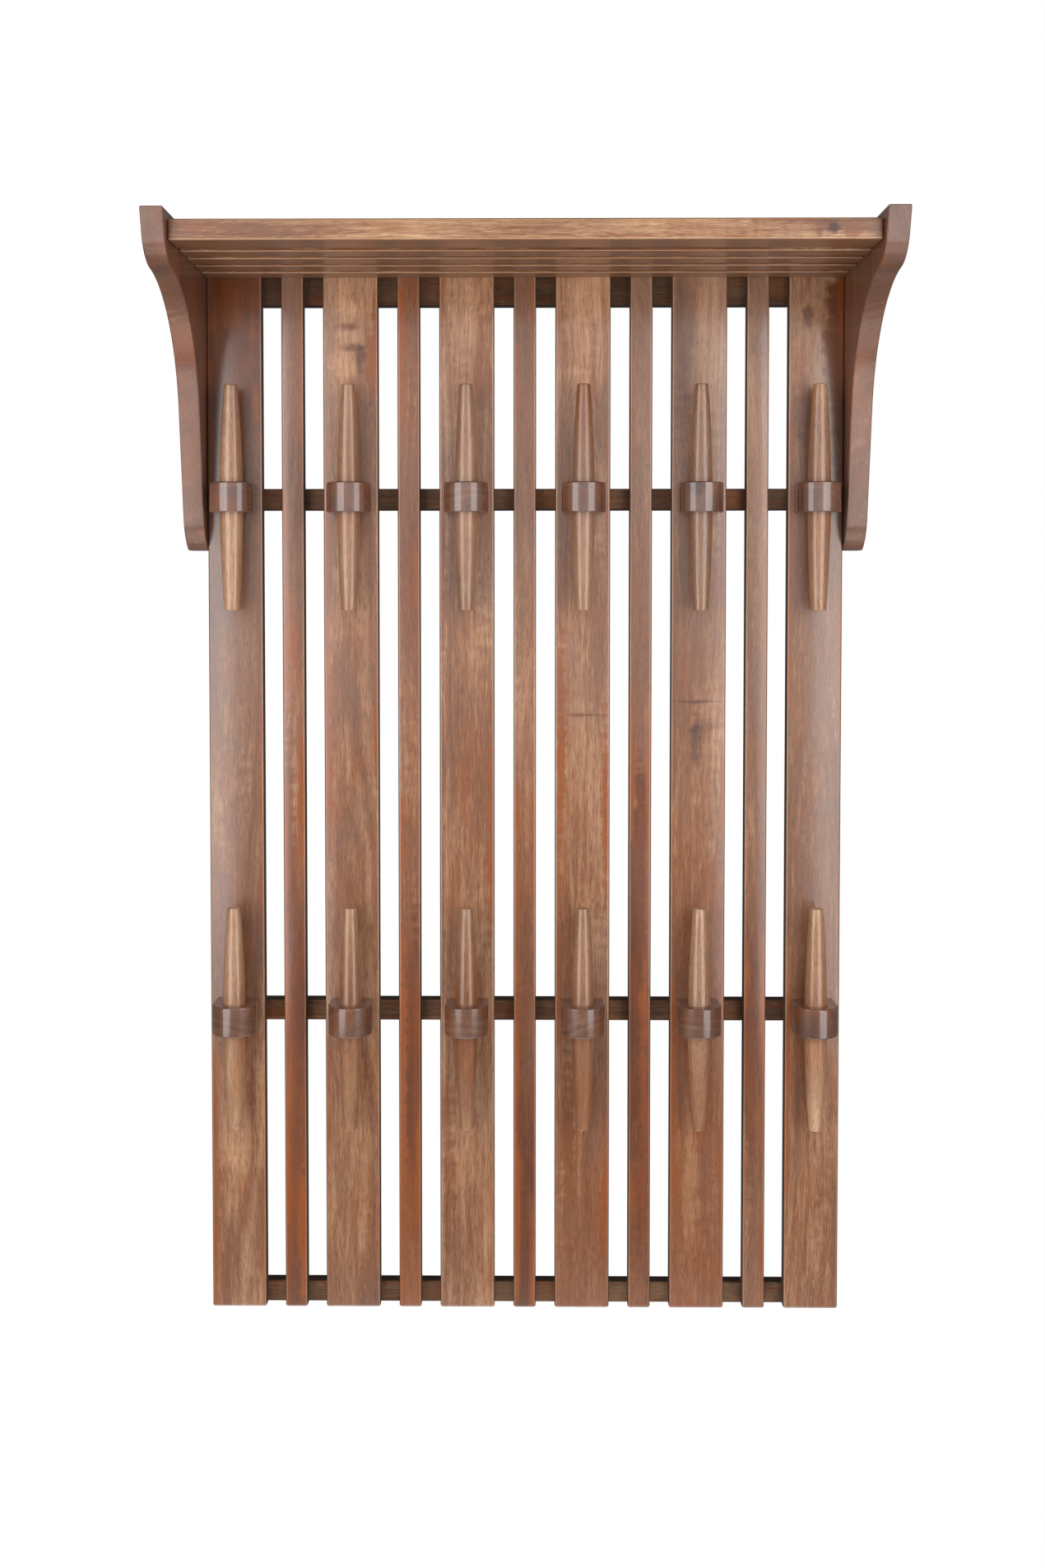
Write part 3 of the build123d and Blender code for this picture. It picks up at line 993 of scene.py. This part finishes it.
# %% Turned pegs
smooth_angle = math.radians(40)
peg_tip_radii = {"upper": (7.45 * mm, 8.45 * mm), "lower": (7.40 * mm, 7.25 * mm)}
# The brown tones at the block, and at the lower ends of some lower pegs, are partly painted shade of the
# block.
peg_tones = {
    "upper_peg_1": ("dull", "plain", "pale"),
    "upper_peg_2": ("soft", "brown", "soft"),
    "upper_peg_3": ("dull", "soft", "dull"),
    "upper_peg_4": ("red", "dull", "plain"),
    "upper_peg_5": ("dull", "dull", "grey"),
    "upper_peg_6": ("soft", "brown", "soft"),
    "lower_peg_1": ("plain", "soft", "pale"),
    "lower_peg_2": ("plain", "brown", "plain"),
    "lower_peg_3": ("soft", "red", "plain"),
    "lower_peg_4": ("plain", "brown", "brown"),
    "lower_peg_5": ("pale", "soft", "brown"),
    "lower_peg_6": ("pale", "brown", "bright"),
}


def turn_peg(node, block, tip_radii):
    """A peg in the place of its CAD node, with its seat in a block and a tip size above and below."""
    low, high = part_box(node)
    block_low, block_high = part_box(block)
    centre = (low + high) / 2
    seat = block_high.z - block_low.z
    taper_length = (high.z - low.z - seat) / 2 - peg_tip_ease
    blank = {"vertices": 64, "radius": peg_body_radius, "depth": seat, "location": centre}
    peg = start_blank(node, bpy.ops.mesh.primitive_cylinder_add, **blank)
    for way, tip_radius in zip((1.0, -1.0), tip_radii):
        bpy.ops.mesh.select_all(action="DESELECT")
        choose(peg, "polygons", lambda face: face.normal.z * way > 0.9)
        bpy.ops.mesh.select_mode(type="FACE")
        rise_before, radius_before = 0.0, peg_body_radius
        for rise, radius in taper_profile(taper_length, tip_radius):
            step = (0.0, 0.0, way * (rise - rise_before))
            bpy.ops.mesh.extrude_region_move(TRANSFORM_OT_translate={"value": step})
            narrower = (radius / radius_before, radius / radius_before, 1.0)
            bpy.ops.transform.resize(value=narrower, center_override=(centre.x, centre.y, 0.0))
            rise_before, radius_before = rise, radius
    bpy.ops.object.mode_set(mode="OBJECT")
    for polygon in peg.data.polygons:
        polygon.use_smooth = True
    bpy.ops.object.shade_smooth_by_angle(angle=smooth_angle)
    return peg


for row, i in hooks:
    node = f"{row}_peg_{i}"
    peg = turn_peg(node, f"{row}_block_{i}", peg_tip_radii[row])
    finish_piece(peg, node, peg_wood, "peg_wood", "Z", *peg_tones[node])
print("pegs:", len(hooks), "faces each:", len(peg.data.polygons))

# %% [markdown]
# The rails behind the slats keep their CAD meshes, which already have the seats of the screws and the beds
# of the hanger plates. They only need a better finish. So do the screws, the plates and the dowels. The
# screws are yellow zinc and the plates bright zinc, and the dowels are bare beech, because glue wouldn't
# hold on a finished one.

# %% Finishes for the pieces that keep their CAD shape


def zinc_plated_steel(name, hex_colour):
    """Zinc-plated steel: a bright metal, lightly mottled by the bath."""
    material, tree = new_material(name)
    place = add_node(tree, "TexCoord", output="Object")
    spangle = pattern(tree, place, 1.5, 1.5, Detail=3.0)
    metal = {
        "Base Color": lay_over(tree, linear(hex_colour), [(spangle, "#c9c9c6")]),
        "Metallic": 1.0,
        "Roughness": add_up(tree, 0.22, [(spangle, 0.25)]),
    }
    add_node(tree, "OutputMaterial", {0: add_node(tree, "BsdfPrincipled", metal)})
    return material


# Bright zinc on the pressed hanger plates.
plate_steel = zinc_plated_steel("zinc_plated_plate_steel", "#9a9c9c")
# Yellow passivated zinc on the screws.
screw_steel = zinc_plated_steel("yellow_zinc_screw_steel", "#a8905a")
# Bare beech, neither stained nor lacquered.
dowel_beech = stained_hardwood(
    "bare_beech_dowel", read=read_place, deep="#b08a62", middle="#c9a77d", pale="#dcc09a", coat=0.0
)
kept_pieces = [
    (rail_wood, ["top_rail", "upper_hook_rail", "lower_hook_rail", "bottom_rail"]),
    (plate_steel, ["left_hanger_plate", "right_hanger_plate"]),
    (screw_steel, ["slat_screws", "block_screws", "hanger_screws"]),
    (dowel_beech, ["shelf_dowels", "bracket_dowels"]),
]
for material, nodes in kept_pieces:
    for node in nodes:
        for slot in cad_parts[node].material_slots:
            slot.material = material
print("finished CAD pieces:", sum(len(nodes) for material, nodes in kept_pieces))

# %% [markdown]
# The light is a studio's. Two tall softboxes stand close to the rack, one to each side. The pegs and blocks
# are round, so each softbox shows in them as an upright stripe, and that tells the eye that they are turned
# and lacquered. A wide lamp in front fills the shadows, one below lights the lower side of the shelf as a
# pale floor would, and one behind the rack lights the backs and sides of the boards. The last one isn't
# seen in reflections, because it would draw a bright line along every edge.

# %% Lamps


def softbox(name, place, aim, width, height, power):
    """A rectangular lamp that points at a place on the rack."""
    data = bpy.data.lights.new(name, "AREA")
    data.shape = "RECTANGLE"
    data.size = width
    data.size_y = height
    data.energy = power
    lamp = bpy.data.objects.new(name, data)
    bpy.context.scene.collection.objects.link(lamp)
    lamp.location = place
    lamp.rotation_euler = (Vector(aim) - Vector(place)).to_track_quat("-Z", "Y").to_euler()
    return lamp


slats_front = (0.0, -0.03, -0.35)
softbox("left_softbox", (-0.82, -0.90, -0.35), aim=slats_front, width=0.70, height=1.5, power=11.0)
softbox("right_softbox", (0.76, -0.88, -0.35), aim=slats_front, width=0.66, height=1.5, power=10.0)
softbox("front_fill", (0.0, -2.6, 0.4), aim=(0.0, 0.0, 0.4), width=3.0, height=2.2, power=18.0)
softbox("floor_bounce", (0.0, -0.75, -2.2), aim=(0.0, -0.60, 0.0), width=1.8, height=1.1, power=12.0)
back_fill = softbox("back_fill", (0.0, 2.2, 0.5), aim=(0.0, 0.0, -0.4), width=2.4, height=1.2, power=22.0)
back_fill.visible_glossy = False

# %% [markdown]
# Round the rack is a pale room. The camera sees its walls and floor as plain white, but what they send back
# to the rack is much weaker, so that the softboxes do the lighting. A Light Path node tells the two apart.
# The floor lies well below the rack, which hangs on a wall that isn't there. The Standard view shows every
# colour as it was written.

# %% Surroundings
white = linear("#ffffff")
room_strength = 0.15
floor_drop = 1.1
floor_width = 12.0

world = bpy.data.worlds.new("pale_room")
bpy.context.scene.world = world
world.use_nodes = True
tree = world.node_tree
tree.nodes.clear()
seen = add_node(tree, "LightPath", output="Is Camera Ray")
room_light = add_node(tree, "Background", {0: white, 1: room_strength})
room_in_view = add_node(tree, "Background", {0: white, 1: 1.0})
room = add_node(tree, "MixShader", {0: seen, 1: room_light, 2: room_in_view})
add_node(tree, "OutputWorld", {0: room})

floor_paint, tree = new_material("matt_white_floor_paint")
seen = add_node(tree, "LightPath", output="Is Camera Ray")
paint = add_node(tree, "BsdfPrincipled", {"Base Color": linear("#f2f2f0"), "Roughness": 0.9})
paint_in_view = add_node(tree, "Emission", {0: white, 1: 1.0})
add_node(tree, "OutputMaterial", {0: add_node(tree, "MixShader", {0: seen, 1: paint, 2: paint_in_view})})

bpy.ops.object.select_all(action="DESELECT")
bpy.ops.mesh.primitive_plane_add(size=floor_width, location=(0.0, 0.0, rack_low.z - floor_drop))
floor = bpy.context.object
floor.name = "pale_floor"
floor.data.materials.append(floor_paint)
bpy.context.scene.view_settings.view_transform = "Standard"
print("floor at", round((rack_low.z - floor_drop) / mm), "mm")
